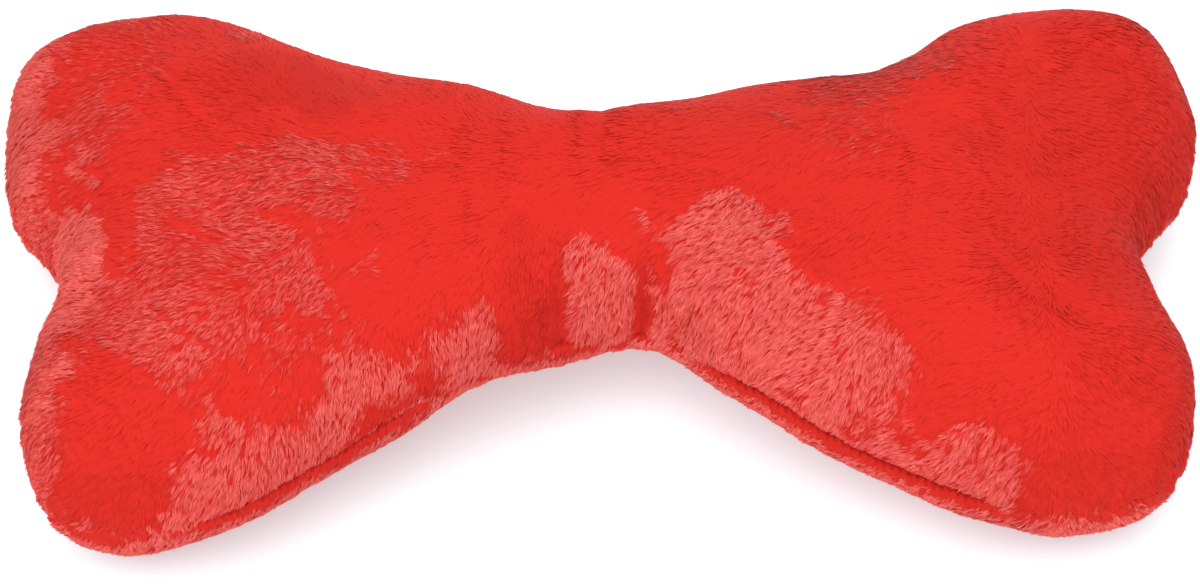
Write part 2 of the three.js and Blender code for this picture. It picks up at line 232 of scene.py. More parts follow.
@dataclass(frozen=True)
class PilePlush:
    """Polyester short-pile plush, dyed in the piece: its strands shine along their flanks, and its tones
    carry painted shade and painted sheen.
    """

    shade: str = "#AA1C15"  # painted shade, for roots, creases, the seam's groove and pile brushed down
    body: str = "#CC2921"
    sheen: str = "#F87C75"  # painted sheen, where the pile stands up and shows its flanks
    body_tones: Pair = (0.42, 0.52)  # the tones that show the body colour alone
    dye_blotch_mm: float = 26.0
    dye_blotch_tone: float = 0.06

    def material(self) -> Material:
        """Make the strands' material, which reads their tone, painted shade and sheen included, from the
        mesh.

        Returns:
            The material.
        """
        material, tree = new_material("polyester_pile_plush")
        # The dye takes a little unevenly over a hand's breadth, which keeps large areas alive
        blotch = add_pattern(tree, "Noise", self.dye_blotch_mm, {"Detail": 1.0})
        tone = add_scaled(tree, blotch, self.dye_blotch_tone, "tone")
        low, high = self.body_tones
        stops = [(0.0, self.shade), (low, self.body), (high, self.body), (1.0, self.sheen)]
        shine = {
            "Base Color": add_ramp(tree, tone, stops),
            "Roughness": 0.8,
            "Specular IOR Level": 0.05,
            # Fine fibre ends catch light at grazing angles, which gives the pale rose rim
            "Sheen Weight": 0.14,
            "Sheen Roughness": 0.35,
            "Sheen Tint": linear("#FFC0BA"),
        }
        finish_material(tree, shine)
        return material


@dataclass(frozen=True)
class KnittedBacking:
    """The plush's knitted ground, in the pile's dye: fine courses show where the pile parts."""

    seam: str = "#A3160F"  # painted shade over the seam's parting, where hardly any light gets in
    low: str = "#C5271F"
    high: str = "#CC2921"
    course_mm: float = 0.9  # coarser than the real 0.5 mm, so that it shows
    course_light: float = 0.3  # how much of the light differs from course to course

    def material(self) -> Material:
        """Make the backing's material, which reads from the mesh how lit it lies, with painted shade over the
        seam's parting.

        Returns:
            The material.
        """
        material, tree = new_material("knitted_plush_backing")
        courses = add_pattern(tree, "Wave", TURN * self.course_mm, {"Distortion": 1.5})
        light = add_scaled(tree, courses, self.course_light, "lit")
        colour = add_ramp(tree, light, [(0.2, self.seam), (0.7, self.low), (1.0, self.high)])
        shine = {"Base Color": colour, "Roughness": 0.9, "Specular IOR Level": 0.05}
        finish_material(tree, shine, courses, 0.1)
        return material


@dataclass(frozen=True)
class Patterned:
    """A finish whose colour, and relief if it has any, follow one pattern."""

    name: str
    low: str
    high: str
    roughness: float
    size_mm: float
    bump_mm: float = 0.02
    stops: Pair = (0.35, 0.65)
    kind: str = "Noise"
    inputs: tuple[tuple[str, float], ...] = (("Detail", 4.0),)
    out: str = "Fac"
    more: tuple[tuple[str, Any], ...] = ()  # other inputs of the shader

    def material(self) -> Material:
        """Make the material.

        Returns:
            The material.
        """
        material, tree = new_material(self.name)
        pattern = add_pattern(tree, self.kind, self.size_mm, dict(self.inputs), self.out)
        colour = add_ramp(tree, pattern, list(zip(self.stops, (self.low, self.high))))
        shine = {"Base Color": colour, "Roughness": self.roughness, **dict(self.more)}
        finish_material(tree, shine, pattern if self.bump_mm else None, self.bump_mm)
        return material


# How many finer layers the noise of a finish has, where that isn't four
ROUGHER, FINEST = (("Detail", 3.0),), (("Detail", 6.0),)
# Two plies of spun fibre, a little fuzzy, with a dull shine
THREAD = Patterned("spun_polyester_thread", "#9C130F", "#D62A22", 0.7, 0.3, 0.04, (0.3, 0.7), inputs=ROUGHER)
# Carded fibre is white and matt, with crossing wisps and soft hollows
FIBRE = Patterned(
    "hollow_polyester_fibre",
    "#D9D6CF",
    "#FBFAF6",
    roughness=1.0,
    size_mm=1.6,
    bump_mm=0.6,
    stops=(0.3, 0.65),
    inputs=FINEST,
    more=(("Sheen Weight", 0.3),),
)
# Pressed fibres under a grid of small bonded points
NONWOVEN = Patterned(
    "spunbond_polypropylene",
    "#CFCBC0",
    "#E9E6DE",
    roughness=0.85,
    size_mm=1.1,
    bump_mm=0.12,
    stops=(0.15, 0.4),
    kind="Voronoi",
    inputs=(("Randomness", 0.15),),
    out="Distance",
)
# Blow-moulded soft vinyl has a waxy skin with faint flow marks
SOFT_VINYL = Patterned("blow_moulded_vinyl", "#E6E1D3", "#F3F0E6", 0.46, 2.4)
# Injection-moulded polystyrene is harder, cooler and shinier
POLYSTYRENE = Patterned("moulded_polystyrene", "#D3D9DC", "#E6EAEC", 0.3, 1.2)
# Calendered film is glossy with hair-fine streaks
FILM = Patterned("calendered_film", "#BCC8D0", "#D5DEE3", 0.18, 0.6)
# The cool white top of a table that is softly lit from below, so that its shadows are pale
OPAL_SHEET = Patterned(
    "opal_acrylic_sheet",
    "#E3F3F6",
    "#E7F6FA",
    roughness=0.9,
    size_mm=1.5,
    bump_mm=0.0,
    stops=(0.3, 0.7),
    inputs=ROUGHER,
    more=(
        ("Specular IOR Level", 0.1),
        ("Emission Color", linear("#E7F6FA")),
        ("Emission Strength", 0.36),
    ),
)


# Mesh helpers


def put(name: str, data: bpy.types.ID) -> Piece:
    """Put a mesh, a lamp or a camera in the scene.

    Args:
        name: The object's name.
        data: What it holds.

    Returns:
        The object.
    """
    thing = bpy.data.objects.new(name, data)
    bpy.context.scene.collection.objects.link(thing)
    return thing


def make_piece(
    name: str,
    points: Array,
    faces: list[Array],
    material: Material,
    places: Array | None = None,
    values: dict[str, Array] | None = None,
    facing: Array | None = None,
) -> Piece:
    """Make a smooth mesh object from arrays.

    Args:
        name: The piece's name.
        points: Its points in millimetres.
        faces: Blocks of faces, each an array of point numbers with one row for each face.
        material: What it is dressed in.
        places: Its bake map, one place for each point.
        values: Named numbers, one for each point, for the material to read.
        facing: The way that each point is shaded to face, where that isn't worked out.

    Returns:
        The new object, linked to the scene.
    """
    mesh = bpy.data.meshes.new(name)
    corners = np.concatenate([block.ravel() for block in faces]).astype(np.int32)
    sizes = np.concatenate([np.full(len(block), block.shape[1]) for block in faces])
    starts = np.concatenate([[0], np.cumsum(sizes)[:-1]]).astype(np.int32)
    mesh.vertices.add(len(points))
    mesh.vertices.foreach_set("co", (points * MM).astype(np.float32).ravel())
    mesh.loops.add(len(corners))
    mesh.loops.foreach_set("vertex_index", corners)
    mesh.polygons.add(len(sizes))
    mesh.polygons.foreach_set("loop_start", starts)
    mesh.update(calc_edges=True)
    mesh.polygons.foreach_set("use_smooth", np.ones(len(sizes), bool))
    if places is not None:
        layer = mesh.uv_layers.new(name=BAKE_MAP)
        layer.uv.foreach_set("vector", places[corners].astype(np.float32).ravel())
    for key, numbers in (values or {}).items():
        kept = mesh.attributes.new(key, "FLOAT", "POINT")
        kept.data.foreach_set("value", numbers.astype(np.float32))
    if facing is not None:
        mesh.normals_split_custom_set_from_vertices(facing.astype(np.float32))
    mesh.materials.append(material)
    return put(name, mesh)


def weld(piece: Piece) -> None:
    """Join the points of a piece that lie together.

    Args:
        piece: The mesh object.
    """
    tools = bmesh.new()
    tools.from_mesh(piece.data)
    bmesh.ops.remove_doubles(tools, verts=tools.verts, dist=JOINED_MM * MM)
    tools.to_mesh(piece.data)
    tools.free()


def strip_faces(rings: int, rows: int, flipped: bool, closed_rows: bool) -> Array:
    """Number the quads of a grid that closes on itself from its last ring to its first.

    Args:
        rings: How many rings or ribs there are.
        rows: How many points each has.
        flipped: Whether the faces turn the other way round.
        closed_rows: Whether each ring closes on itself too.

    Returns:
        One row of four point numbers for each quad.
    """
    ring, row = np.meshgrid(np.arange(rings), np.arange(rows if closed_rows else rows - 1), indexing="ij")
    after, below = (ring + 1) % rings, (row + 1) % rows
    a, b = ring * rows + row, ring * rows + below
    c, d = after * rows + row, after * rows + below
    order = (a, b, d, c) if flipped else (a, c, d, b)
    return np.stack([part.ravel() for part in order], axis=1)


def unit(vectors: Array) -> Array:
    """Scale vectors to a length of one."""
    return vectors / np.maximum(np.linalg.norm(vectors, axis=-1, keepdims=True), 1e-9)


def laid_on(ways: Array, normals: Array) -> Array:
    """Lay ways flat on a surface with these normals, at a length of one."""
    return unit(ways - (ways * normals).sum(axis=1, keepdims=True) * normals)


def waves(points: Array, size_mm: float, seed: int) -> Array:
    """Give a smooth random field, as a sum of sines in random directions.

    Args:
        points: Where it is read, in millimetres.
        size_mm: How far apart its swells are.
        seed: Which field it is.

    Returns:
        A value for each point, mostly from -1 to 1.
    """
    count = 7
    dice = np.random.default_rng(seed)
    along = unit(dice.normal(size=(count, 3))) * (TURN / size_mm) * dice.uniform(0.7, 1.4, (count, 1))
    phase = dice.uniform(0, TURN, count)
    return np.sin(points @ along.T + phase).sum(axis=-1) / math.sqrt(count)


def field_of(points: Array, strength: float, size_mm: float, seed: int) -> Array:
    """Give a smooth random field of some strength."""
    return strength * waves(points, size_mm, seed)


def smooth_step(values: Array) -> Array:
    """Ease values from 0 to 1, and hold them there outside that range."""
    held = np.clip(values, 0, 1)
    return held * held * (3 - 2 * held)


def past(values: Array, start: float, width: float) -> Array:
    """Ease from 0 at the start to 1 a width further, which is lower if the width is below 0."""
    return smooth_step((values - start) / width)


def through(rows: Array, place: Array, ring: bool) -> Array:
    """Read a smooth curve through rows of numbers.

    Args:
        rows: One row for each point of the curve.
        place: Where to read it, counted in rows.
        ring: Whether the last row leads back to the first.

    Returns:
        One row for each place.
    """
    count = len(rows)
    first = np.minimum(np.floor(place).astype(int), count if ring else count - 2)
    t = (place - first)[:, None]
    steps = [first + step for step in (-1, 0, 1, 2)]
    a, b, c, d = (rows[i % count if ring else np.clip(i, 0, count - 1)] for i in steps)
    start, end, rise = (c - a) / 2, (d - b) / 2, c - b
    return b + t * (start + t * (3 * rise - 2 * start - end + t * (start + end - 2 * rise)))


# The stuffed form

# Clockwise from the back of the waist, as the panels were cut and stuffed: the outline's points as
# shares of half the length and half the width, by the place on the middle line that they swell from
OUTLINE_SHARES = (
    ("waist", ((-0.02, 0.48),)),
    ("right_shaft", ((0.22, 0.575),)),
    ("right_fork", ((0.45, 0.7),)),
    ("right_back_limb", ((0.6, 0.91),)),
    ("right_back_lobe", ((0.78, 1.0), (0.95, 0.905), (1.0, 0.61), (0.98, 0.35))),
    ("right_back_limb", ((0.92, 0.15),)),
    ("right_fork", ((0.88, -0.01),)),
    ("right_front_limb", ((0.9, -0.17),)),
    ("right_front_lobe", ((0.95, -0.4), (0.935, -0.7), (0.87, -0.865), (0.72, -0.94))),
    ("right_front_limb", ((0.6, -0.92),)),
    ("right_fork", ((0.43, -0.79),)),
    ("right_shaft", ((0.22, -0.555),)),
    ("waist", ((0.05, -0.33),)),
    ("left_shaft", ((-0.21, -0.535),)),
    ("left_fork", ((-0.43, -0.79),)),
    ("left_front_limb", ((-0.59, -0.96),)),
    ("left_front_lobe", ((-0.76, -0.985), (-0.865, -0.91), (-0.92, -0.65), (-0.915, -0.38))),
    ("left_front_limb", ((-0.875, -0.2),)),
    ("left_fork", ((-0.88, -0.06),)),
    ("left_back_limb", ((-0.92, 0.09),)),
    ("left_back_lobe", ((-0.98, 0.3), (-0.99, 0.7), (-0.91, 0.91), (-0.72, 0.97))),
    ("left_back_limb", ((-0.57, 0.9),)),
    ("left_fork", ((-0.43, 0.755),)),
    ("left_shaft", ((-0.22, 0.585),)),
)

# The places on the middle line, as the same shares; each is stuffed as the end of its name says
MIDDLE_SHARES = {
    "left_fork": (-0.53, -0.02),
    "left_shaft": (-0.25, 0.03),
    "waist": (0.01, 0.07),
    "right_shaft": (0.25, 0.04),
    "right_fork": (0.52, 0.0),
    "right_back_limb": (0.65, 0.31),
    "right_back_lobe": (0.77, 0.6),
    "right_front_limb": (0.64, -0.28),
    "right_front_lobe": (0.74, -0.55),
    "left_back_limb": (-0.64, 0.29),
    "left_back_lobe": (-0.75, 0.58),
    "left_front_limb": (-0.63, -0.31),
    "left_front_lobe": (-0.73, -0.6),
}

MIDDLE_LINES = (
    ("left_fork", "left_shaft", "waist", "right_shaft", "right_fork"),
    ("right_fork", "right_back_limb", "right_back_lobe"),
    ("right_fork", "right_front_limb", "right_front_lobe"),
    ("left_fork", "left_back_limb", "left_back_lobe"),
    ("left_fork", "left_front_limb", "left_front_lobe"),
)


class Ribs(NamedTuple):
    """Ribs from the middle line out to the rim, in millimetres."""

    root: Array
    direction: Array
    length: Array
    crest: Array
    belly: Array
    rim: Array


@dataclass
class BoneForm:
    """The stuffed bone as ribs that swell from a middle line out to the seam.

    Each kind of place has its height over the rim, its height under it and its lift off the ground.
    """

    waist: Triple = (29.5, 15.5, 16)
    shaft: Triple = (25, 24, 11.5)
    fork: Triple = (32, 28, 2)
    limb: Triple = (32, 26, 1)
    lobe: Triple = (30.5, 25, -0.5)
    steps_per_point: int = 20
    size: Array = field(init=False)

    def __post_init__(self) -> None:
        """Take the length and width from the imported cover."""
        low, high = (np.array(corner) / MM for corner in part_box("bottom_panel"))
        self.size = (high - low)[:2]

    def middle(self, start: str, end: str, t: Array) -> Array:
        """Read the middle line between two of its places.

        Args:
            start: The place to start at.
            end: The place to end at.
            t: How far from start to end, from 0 to 1.

        Returns:
            Rows of x and y shares, crest, belly and lift.
        """
        line = next(names for names in MIDDLE_LINES if start in names and end in names)
        first, last = line.index(start), line.index(end)
        kinds = [name.split("_")[-1] for name in line]
        rows = np.array([(*MIDDLE_SHARES[n], *getattr(self, kind)) for n, kind in zip(line, kinds)])
        return through(rows, first + (last - first) * t, False)

    def ribs(self) -> Ribs:
        """Lay the ribs from the middle line to the outline.

        Returns:
            One rib for each step round the outline.
        """
        shares = np.array([point for _, points in OUTLINE_SHARES for point in points])
        over = [place for place, points in OUTLINE_SHARES for _ in points]
        t = np.arange(self.steps_per_point) / self.steps_per_point
        edge = through(shares, np.arange(len(over) * self.steps_per_point) / self.steps_per_point, True)
        foot = np.concatenate([self.middle(*ends, t) for ends in zip(over, over[1:] + over[:1])])
        low, high = edge.min(axis=0), edge.max(axis=0)
        tip, root = (((share - low) / (high - low) - 0.5) * self.size for share in (edge, foot[:, :2]))
        crest, belly, lift = foot[:, 2:].T
        reach = np.linalg.norm(tip - root, axis=1)
        return Ribs(root, (tip - root) / reach[:, None], reach, crest, belly, belly + lift)


@dataclass(frozen=True)
class Crease:
    """A line on the top panel where the squeaker's pouch tugs the cover in."""

    start: Pair
    end: Pair
    depth: float
    half_width: float

    def share(self, flat: Array, spread: float) -> Array:
        """Say how much of the crease each place has.

        Args:
            flat: Places seen from above, in millimetres.
            spread: How many times wider than the crease to reach.

        Returns:
            1 in the crease's middle, down to 0 away from it.
        """
        start, end = np.array(self.start), np.array(self.end)
        along = end - start
        t = np.clip(((flat - start) @ along) / (along @ along), 0, 1)
        gap = np.linalg.norm(flat - start - t[..., None] * along, axis=-1)
        near = np.exp(-((gap / self.half_width / spread) ** 2))
        # It fades in from its start, is deepest past its middle, and is still there at its end
        return near * (0.1 + 0.9 * np.sin(math.pi * (0.08 + 0.67 * t)))


# The pouch tugs the cover in at both its sides, and the stuffing gives way beside the waist
CREASES = (
    Crease((-9.0, -18.0), (-8.8, -32.0), 1.9, 2.0),
    Crease((9.7, -16.5), (9.8, -30.0), 1.9, 1.8),
    Crease((0.4, 33.0), (1.8, 0.0), 0.8, 2.6),
    Crease((-31.2, -4.0), (-31.8, -36.0), 0.6, 3.6),
    Crease((-23.0, 24.0), (-23.8, -7.0), 0.6, 3.2),
    Crease((14.0, -30.0), (19.0, -29.5), 1.2, 1.6),
)


def crease_depth(points: Array, spread: float = 1.0) -> Array:
    """Say how many millimetres the creases, made wider by a spread, draw the top in at each place."""
    return sum(fold.depth * fold.share(points[..., :2], spread) for fold in CREASES)


@dataclass
class Surface:
    """One side of the backing as a grid of points, ribs by rows, with outward normals."""

    side: Side
    points: Array
    normals: Array
    over_rim: Array  # each point's height from the rim
    open_seam: Array  # how open the seam's groove is there, from 0 to 1
    depth: Array  # how deep in a crease each point is, in millimetres


@dataclass
class Cover:
    """The two plush panels, sewn round the rim and turned, without their pile."""

    form: BoneForm
    finish: KnittedBacking = KnittedBacking()
    pile_depth: float = 0.6  # from the backing's face to the tips of the laid pile
    backing: float = 0.9
    seam_gap: float = 0.15  # half the gap between the panels
    allowance: float = 4.4
    allowance_thickness: float = 1.2
    rows: int = 34
    inner_rows: int = 8
    pressed_height: float = 1.0  # the pile is pressed to this where a lobe rests
    lump: float = 0.7
    lump_size: float = 38.0
    groove_depth: float = 1.2
    groove_half_width: float = 1.2
    groove_shade_spread: float = 1.3  # the groove's shade reaches this many times as far
    closed_groove_share: float = 0.1  # what is left of it where the pile closes over the seam
    open_front: tuple[Triple, ...] = ((-94.0, -34.0, 0.75), (18.0, 92.0, 1.0))  # from, to, how far
    open_fade: float = 12.0
    pucker: float = 0.45
    pucker_pitch: float = 7.0
    pucker_reach: float = 6.0
    pucker_clear: float = 1.5  # the puckers start this far from the seam

    def dome(self, ribs: Ribs, side: Side, inset: float, floor: float, rows: int) -> tuple[Array, ...]:
        """Shape one side as quarter ellipses over the ribs.

        Args:
            ribs: The ribs.
            side: Which panel.
            inset: How far inside the pile's tips.
            floor: The height over the rim to stop at.
            rows: How many steps from crest to rim.

        Returns:
            The points, their outward directions and their heights over the rim.
        """
        height = (ribs.crest if side is Side.TOP else ribs.belly) - inset
        length = ribs.length - inset
        angle = np.arccos(floor / height)[:, None] * np.linspace(0, 1, rows + 1)
        out, up = length[:, None] * np.sin(angle), height[:, None] * np.cos(angle)
        flat = ribs.root[:, None] + ribs.direction[:, None] * out[..., None]
        points = np.dstack([flat, ribs.rim[:, None] + side.value * up])
        steep = height[:, None] * np.sin(angle)
        level = side.value * length[:, None] * np.cos(angle)
        return points, unit(np.dstack([ribs.direction[:, None] * steep[..., None], level])), up

    def open_seam(self, points: Array) -> Array:
        """Say how open the seam's groove is: the pile closes over it at the lobes and the waist.

        Args:
            points: Places on the cover in millimetres.

        Returns:
            1 where it is open, down to the closed share.
        """
        x, y = points[..., 0], points[..., 1]
        open_share = sum(
            share * past(x, low, self.open_fade) * past(x, high, -self.open_fade)
            for low, high, share in self.open_front
        )
        return self.closed_groove_share + np.where(y < 0, open_share, 0.0) * (1 - self.closed_groove_share)

    def surface(self, side: Side) -> Surface:
        """Shape one panel's backing with its lumps, creases, seam groove and puckers.

        Args:
            side: Which panel.

        Returns:
            The backing.
        """
        ribs = self.form.ribs()
        points, outward, up = self.dome(ribs, side, self.pile_depth, self.seam_gap, self.rows)
        near_rim = np.exp(-((up / self.pucker_reach) ** 2))
        way_round = np.cumsum(np.linalg.norm(np.diff(points[:, -1], axis=0, append=points[:1, -1]), axis=1))
        pitch = way_round[-1] / round(way_round[-1] / self.pucker_pitch)
        gathers = np.sin(TURN * way_round / pitch)[:, None] * near_rim * (1 - np.exp(-up / self.pucker_clear))
        depth = crease_depth(points) if side is Side.TOP else np.zeros_like(up)
        open_seam = self.open_seam(points)
        groove = np.exp(-((up / self.groove_half_width) ** 2)) * open_seam
        lumps = self.lump * waves(points, self.lump_size, seed=5) * (1 - near_rim)
        rise = lumps + self.pucker * gathers - depth * (1 - groove) - self.groove_depth * groove
        points = points + outward * rise[..., None]
        points[..., 2] = np.maximum(points[..., 2], self.pressed_height)
        across = np.roll(points, -1, axis=0) - np.roll(points, 1, axis=0)
        down = np.gradient(points, axis=1)
        normals = unit(np.cross(across, down))
        normals *= np.sign((normals * outward).sum(axis=-1, keepdims=True) + 1e-9)
        normals[:, 0] = outward[:, 0]
        return Surface(side, points, normals, up, open_seam, depth)

    def panel(self, surface: Surface) -> Piece:
        """Make one panel: its face, the turned-in seam allowance and its inside.

        Args:
            surface: The panel's face.

        Returns:
            The panel's object.
        """
        ribs, side = self.form.ribs(), surface.side
        shelf = self.seam_gap + self.allowance_thickness
        inset = self.pile_depth + self.backing
        inner, outward, _ = self.dome(ribs, side, inset + self.lump, shelf, self.inner_rows)
        if side is Side.TOP:
            inner -= outward * crease_depth(inner)[..., None]
        inner[..., 2] = np.maximum(inner[..., 2], self.pressed_height + self.backing)
        edge = surface.points[:, -1, :2]
        fold_out = -ribs.direction * self.allowance + edge
        seam = [(fold_out, self.seam_gap), (fold_out, shelf)]
        hem = [np.column_stack([flat, ribs.rim + side.value * over]) for flat, over in seam]
        section = np.concatenate([surface.points, np.stack(hem, axis=1), inner[:, ::-1]], axis=1)
        rings, rows = section.shape[:2]
        lit = np.full((rings, rows), 1 - self.finish.course_light)
        # Painted shade on the backing over the seam's groove, where the pile parts
        shade_half = surface.over_rim / self.groove_half_width / self.groove_shade_spread
        parting = np.exp(-(shade_half**2)) * surface.open_seam
        lit[:, : parting.shape[1]] *= 1 - parting
        piece = make_piece(
            f"cover_{side.name.lower()}",
            section.reshape(-1, 3),
            [strip_faces(rings, rows, side is Side.BOTTOM, False)],
            self.finish.material(),
            values={"lit": lit.ravel()},
        )
        weld(piece)
        return piece


@dataclass(frozen=True)
class BrushedOrShaded:
    """A patch where a hand brushed the pile up, so that it stands up and is painted paler, a painted sheen;
    below 0, a patch of painted shade.
    """

    centre: Pair
    half: Pair
    turn_deg: float
    strength: float
    edge: float = 0.8  # how much of the way to its middle it takes to reach its full strength
    reach: float = 1.1  # how far out its edge lies, as a share of its half
    raggedness: float = 0.45

    def amount(self, points: Array, ragged: Array) -> Array:
        """Say how far it brushes each place, or how much painted shade it lays there if below 0.

        Args:
            points: Places on the cover in millimetres.
            ragged: A random field there, which makes its edge ragged.

        Returns:
            Up to its strength.
        """
        turn = math.radians(self.turn_deg)
        x, y = (points[:, :2] - self.centre).T
        along = (x * math.cos(turn) + y * math.sin(turn)) / self.half[0]
        across = (y * math.cos(turn) - x * math.sin(turn)) / self.half[1]
        inside = self.reach - np.hypot(along, across) + ragged * self.raggedness
        return self.strength * smooth_step(inside / self.edge)


@dataclass(frozen=True)
class TurnedSheen:
    """A way that the cover can face, where its pile stands up and is painted paler, a painted sheen."""

    way: Triple
    start: float  # the cosine between the two from which it shows
    strength: float
    width: float = 0.4
    raggedness: float = 0.3

    def amount(self, normals: Array, ragged: Array) -> Array:
        """Say how far it raises the pile that faces each way, and so paints sheen on it, with a ragged edge.
        """
        facing = normals @ unit(np.array(self.way)) + ragged * self.raggedness
        return self.strength * past(facing, self.start, self.width)


BRUSHED_OR_SHADED = (
    # The broad stroke to the right of the waist, and what lies beside it, with one patch of painted shade
    BrushedOrShaded((38, -38), (38, 17), -37, 1),
    BrushedOrShaded((29, -15), (17, 12), 0, 0.95),
    BrushedOrShaded((60, -46), (14, 19), 10, 0.5),
    BrushedOrShaded((50, -24), (7, 6), -30, -0.7),
    BrushedOrShaded((19, -27), (10, 12), 0, 0.7),
    BrushedOrShaded((-0.5, -26), (12.5, 13.5), 0, 1),
    # The left lobes: faint wide strokes, stronger ones at the end and along the front, and smooth places of
    # painted shade
    BrushedOrShaded((-97, -8), (19, 15), 0, 0.28, 0.5),
    BrushedOrShaded((-71, -2), (36, 16), 4, 0.36, 0.5),
    BrushedOrShaded((-88, -32), (38, 26), 10, 0.4, 0.5),
    BrushedOrShaded((-118, -17), (10, 22), 0, 0.8, 0.5),
    BrushedOrShaded((-107, -10), (5, 12), 0, -0.7),
    BrushedOrShaded((-52, -48), (13, 6.5), 20, 0.6, 0.7),
    BrushedOrShaded((-28, -39), (13, 11), 20, 0.75),
    BrushedOrShaded((-71, -68), (30, 12), 28, 0.65, 0.6),
    BrushedOrShaded((-112, 38), (34, 34), 30, 0.26, 0.5),
    BrushedOrShaded((-81, 53), (9, 6), 0, 0.4),
    BrushedOrShaded((-72, 29), (36, 20), 0, -0.9),
    # The right lobes with painted shade over the right end, and painted shade in the smooth gap to the left
    # of the waist
    BrushedOrShaded((70, 36), (32, 15), 25, 0.32, 0.5),
    BrushedOrShaded((60, 15), (18, 14), 0, 0.22, 0.5),
    BrushedOrShaded((77, -69), (26, 10), -22, 0.75, 0.7),
    BrushedOrShaded((112, 0), (44, 80), 0, -0.7),
    BrushedOrShaded((-18, -24), (8, 17), 0, -0.6),
)

# The pile stands up, with painted sheen, at the left end, on the back, on the front's underside and at the
# right end
TURNED_SHEEN = (
    TurnedSheen((-1, 0, -0.1), 0.3, 0.42),
    TurnedSheen((0, 1, 0.2), 0.7, 0.4),
    TurnedSheen((0, -0.5, -1), 0.27, 0.8),
    TurnedSheen((1, 0, 0), 0.85, 0.8),
)


@dataclass(frozen=True)
class Nap:
    """The way that the pile leans. Pairs hold where a change starts and how wide it is."""

    run: float = -0.85  # to the left
    run_change: float = 1.5  # and to the right past a parting on the right lobes
    parting: Pair = (90.0, 16.0)
    forward: float = 0.15
    steep_from: Pair = (10.0, -16.0)  # it falls down the flanks, steeper from here to the left
    steep_to: Pair = (-95.0, -25.0)
    steep_lost: float = 0.9  # the share of that which is gone past its end
    stroke_from: Pair = (8.0, 10.0)  # a stroke of the hand laid it slantwise beside the waist
    stroke_to: Pair = (85.0, -25.0)
    stroke_top: Pair = (-0.25, 0.4)  # not on what faces down
    stroke_slant: float = 0.5
    stroke_lifts: float = 0.45  # the share of the fall that the stroke took away
    end_from: Pair = (-115.0, -12.0)  # at the left end it slants to the back
    end_slant: float = 0.3
    swirls: tuple[Triple, ...] = ((14, 32.0, 31), (8, 9.0, 32))  # degrees, size and seed

    def ways(self, points: Array, normals: Array) -> Array:
        """Return the way that the pile leans, along the surface.

        Args:
            points: Places on the cover in millimetres.
            normals: The way that the cover faces there.

        Returns:
            A direction for each place.
        """
        x = points[:, 0]
        fall = 1 + past(x, *self.steep_from) * (1 - self.steep_lost * past(x, *self.steep_to))
        stroked = past(x, *self.stroke_from) * past(x, *self.stroke_to)
        stroked = stroked * past(normals[:, 2], *self.stroke_top)
        slant = self.stroke_slant * stroked - self.end_slant * past(x, *self.end_from)
        along = self.run + self.run_change * past(x, *self.parting)
        down = -fall * (1 - self.stroke_lifts * stroked)
        laid = laid_on(np.column_stack([along, -self.forward - slant, down]), normals)
        swirl = sum(np.radians(turn) * waves(points, size, seed) for turn, size, seed in self.swirls)
        turn = swirl[:, None]
        return laid * np.cos(turn) + np.cross(normals, laid) * np.sin(turn)


@dataclass(frozen=True)
class Tones:
    """What makes a strand deeper or paler, in the tone that the pile's material reads: painted sheen and
    painted shade, and tone that differs at random.
    """

    laid: float = 0.46
    # Painted sheen where the pile stands up, and painted shade where it is brushed down
    raised: float = 0.28
    down_shade: float = 0.26
    # Painted shade on strands over the seam's groove
    trimmed_and_shaded: float = 0.2
    # Painted shade in creases
    crease_shade: float = 0.06
    lock_differs: Triple = (0.02, 0.14, 0.03)  # anywhere, brushed up and brushed down
    strand_differs: Pair = (0.015, 0.1)  # anywhere and brushed up
    # Painted shade at the roots, which lie in the shade of their neighbours, and a painted highlight at the
    # tips
    along: Triple = (-0.22, 0.0, 0.07)
    along_laid: float = 0.08  # how much of that the laid pile shows


class Strands(NamedTuple):
    """Rows of strands with what each takes from its lock."""

    place: Array
    normal: Array
    lean: Array
    lift_deg: Array
    length: Array
    fine: Array  # from 0, broad and laid, to 1, fine
    standing: Array
    up: Array  # how far the pile is brushed up there
    tone: Array


